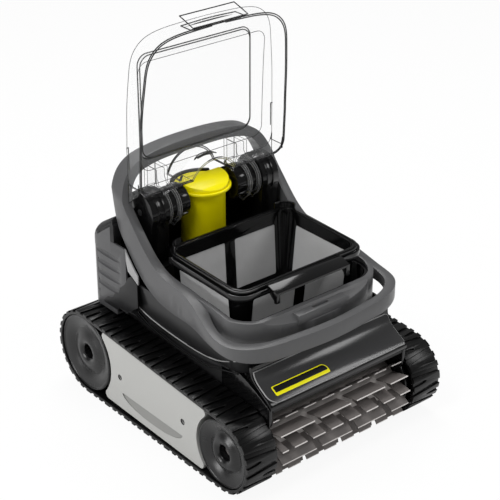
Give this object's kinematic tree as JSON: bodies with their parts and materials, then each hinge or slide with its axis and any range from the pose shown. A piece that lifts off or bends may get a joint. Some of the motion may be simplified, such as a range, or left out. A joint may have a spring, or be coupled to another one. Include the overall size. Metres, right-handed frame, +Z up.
{
  "type": "tracked pool cleaner",
  "caption": "Cordless tracked pool cleaning robot with a front roller brush, a lift-out filter basket under a clear hinged lid and a jet outlet.",
  "frame": {"origin": "on the floor, under the middle of the overall box", "axes": "+Z up, -Y towards the brush, +Y towards the rear housing, +X to the right hand side seen from behind"},
  "size_m": [0.36, 0.442, 0.5735],
  "materials": {
    "track_rubber": "matt black rubber",
    "wheel_grey": "satin dark grey",
    "panel_light": "fine grained light grey",
    "steel": "stainless",
    "motor_case": "coated can",
    "gear_nylon": "natural nylon",
    "brush_core_grey": "warm grey",
    "brush_rubber": "soft warm grey",
    "body_grey": "glossy mid to dark grey",
    "frame_grey": "satin mid grey",
    "dark_body": "matt near-black",
    "black_gloss": "glossy black",
    "flap_rubber": "thin flap",
    "filter_mesh": "fine woven nylon",
    "outlet_yellow": "glossy yellow",
    "clear_plastic": "clear",
    "battery_case": "sealed case"
  },
  "bodies": {
    "body": {"axle_stubs": "steel", "battery_pack": "battery_case", "bottom_plate": "dark_body", "bottom_screws": "steel", "brush_bushes": "gear_nylon", "carry_frame": "frame_grey", "chassis_tub": "dark_body", "control_box": "battery_case", "drive_motor_left": "motor_case", "drive_motor_right": "motor_case", "filter_bay": "black_gloss", "front_bracket_left": "dark_body", "front_bracket_right": "dark_body", "front_hood": "body_grey", "hinge_barrel_left": "black_gloss", "hinge_barrel_right": "black_gloss", "hinge_pins": "steel", "hinge_shoulder_left": "black_gloss", "hinge_shoulder_right": "black_gloss", "hood_trim": "dark_body", "intake_duct": "dark_body", "outlet_scoop": "outlet_yellow", "outlet_tube": "outlet_yellow", "pump_motor": "motor_case", "rear_cap": "black_gloss", "rear_deck": "black_gloss", "rear_housing": "body_grey", "side_panel_left": "panel_light", "side_panel_right": "panel_light", "side_screws": "steel", "track_belt_left": "track_rubber", "track_belt_right": "track_rubber", "upper_shell": "body_grey", "wheel_retainers": "steel"},
    "wheel_rear_left": {"wheel_rear_left": "wheel_grey"},
    "wheel_rear_right": {"wheel_rear_right": "wheel_grey"},
    "wheel_front_left": {"wheel_front_left": "wheel_grey", "brush_core": "brush_core_grey", "brush_blades": "brush_rubber"},
    "wheel_front_right": {"wheel_front_right": "wheel_grey"},
    "pinion_left": {"drive_pinion_left": "gear_nylon"},
    "pinion_right": {"drive_pinion_right": "gear_nylon"},
    "impeller": {"impeller": "gear_nylon", "impeller_shaft": "steel"},
    "basket": {"basket_frame": "black_gloss", "basket_mesh": "filter_mesh"},
    "basket_bail": {"basket_handle": "black_gloss"},
    "flap": {"intake_flap": "flap_rubber"},
    "lid": {"lid": "clear_plastic", "lid_arm_left": "clear_plastic", "lid_arm_right": "clear_plastic"},
    "button": {"power_button": "black_gloss"}
  },
  "joints": [
    {"name": "left_drive", "type": "hinge", "parent": "body", "child": "wheel_rear_left", "pos_m": [0, 0.1542, 0.0671], "axis": [1, 0, 0], "continuous": true},
    {"name": "right_drive", "type": "hinge", "parent": "body", "child": "wheel_rear_right", "pos_m": [0, 0.1542, 0.0671], "axis": [1, 0, 0], "continuous": true},
    {"name": "left_front_turn", "type": "hinge", "parent": "body", "child": "wheel_front_left", "pos_m": [0, -0.1638, 0.0575], "axis": [1, 0, 0], "continuous": true},
    {"name": "right_front_turn", "type": "hinge", "parent": "body", "child": "wheel_front_right", "pos_m": [0, -0.1638, 0.0575], "axis": [1, 0, 0], "continuous": true},
    {"name": "left_pinion_turn", "type": "hinge", "parent": "body", "child": "pinion_left", "pos_m": [0, 0.1158, 0.0671], "axis": [1, 0, 0], "continuous": true},
    {"name": "right_pinion_turn", "type": "hinge", "parent": "body", "child": "pinion_right", "pos_m": [0, 0.1158, 0.0671], "axis": [1, 0, 0], "continuous": true},
    {"name": "impeller_turn", "type": "hinge", "parent": "body", "child": "impeller", "pos_m": [0, 0.097, 0.213], "axis": [0, 0, 1], "continuous": true},
    {"name": "basket_lift", "type": "slide", "parent": "body", "child": "basket", "axis": [0, 0, 1], "range_m": [0, 0.18]},
    {"name": "bail_swing", "type": "hinge", "parent": "basket", "child": "basket_bail", "pos_m": [0, 0.02, 0.25208], "axis": [-1, 0, 0], "range_deg": [0, 95]},
    {"name": "flap_swing", "type": "hinge", "parent": "basket", "child": "flap", "pos_m": [0, -0.026, 0.1531], "axis": [-1, 0, 0], "range_deg": [0, 70]},
    {"name": "lid_hinge", "type": "hinge", "parent": "body", "child": "lid", "pos_m": [0, 0.0932, 0.299], "axis": [-1, 0, 0], "range_deg": [-97.3, 0]},
    {"name": "power_press", "type": "slide", "parent": "body", "child": "button", "axis": [0, -1, 0], "range_m": [0, 0.0025], "stiffness_N_per_m": 300}
  ],
  "couplings": [
    {"joint": "left_front_turn", "follows": "left_drive", "ratio": 1.1912},
    {"joint": "right_front_turn", "follows": "right_drive", "ratio": 1.1912},
    {"joint": "left_pinion_turn", "follows": "left_drive", "ratio": 5},
    {"joint": "right_pinion_turn", "follows": "right_drive", "ratio": 5}
  ]
}
